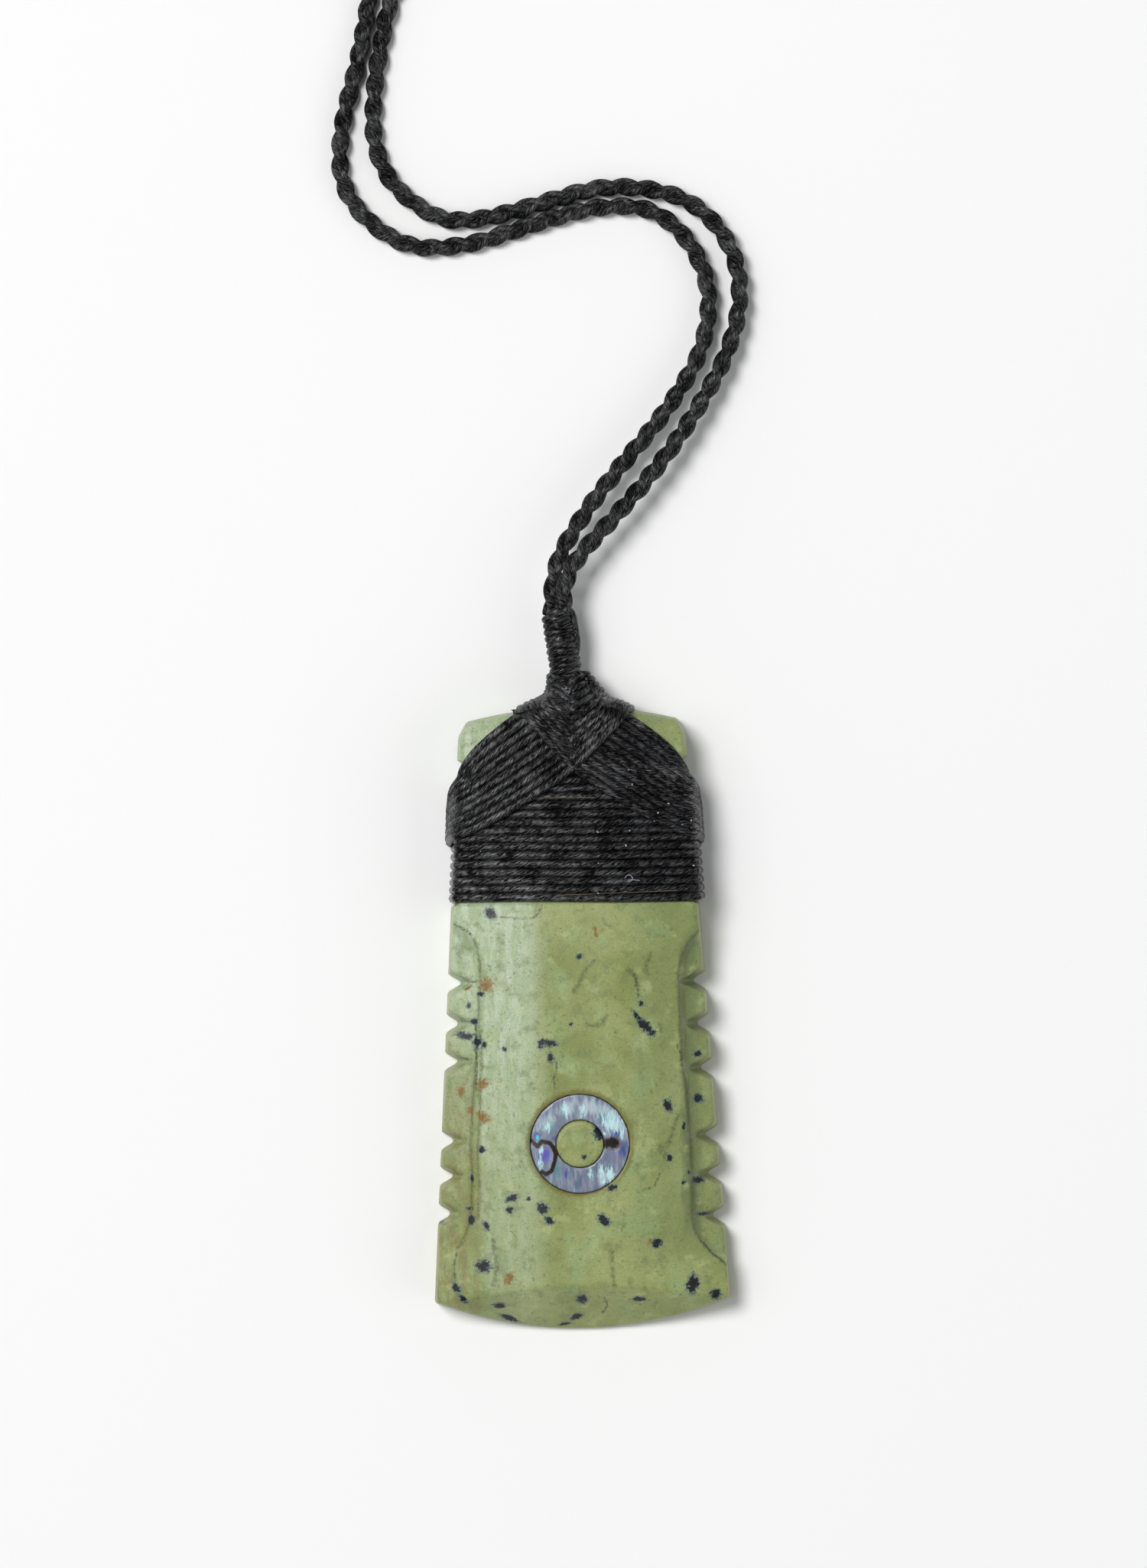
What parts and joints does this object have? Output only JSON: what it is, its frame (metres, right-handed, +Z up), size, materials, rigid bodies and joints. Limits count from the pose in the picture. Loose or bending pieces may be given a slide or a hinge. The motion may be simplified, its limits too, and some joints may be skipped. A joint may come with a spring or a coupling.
{
  "type": "toki pendant",
  "caption": "Adze-shaped greenstone pendant with ledged, notched sides and an inlaid shell ring, bound in waxed thread at its top and carried on a plaited neck cord.",
  "frame": {"origin": "middle of the blade's length, on its flat resting back", "axes": "X across the blade, +Y along it to the poll and the neck cord, +Z up out of the carved front; the blade lies on its back on a surface at z = 0"},
  "size_m": [0.0626, 0.2668, 0.0112],
  "materials": {
    "greenstone": "honed pale grey-green nephrite with a soft sheen, dark blue-black flecks and small rust stains",
    "shell": "polished iridescent shell, silver-blue with teal, pink and dark bands",
    "waxed_thread": "black waxed thread with grey wax highlights",
    "plaited_cord": "black waxed thread in a four-strand round plait",
    "closure": "plain matte black barrel"
  },
  "bodies": {
    "root": {"toki_blade": "greenstone", "shell_ring": "shell", "binding_band": "waxed_thread", "binding_left_wrap": "waxed_thread", "binding_right_wrap": "waxed_thread", "binding_crown": "waxed_thread", "cord_whipping": "waxed_thread", "cord_left": "plaited_cord", "cord_right": "plaited_cord", "cord_closure": "closure"}
  },
  "joints": []
}
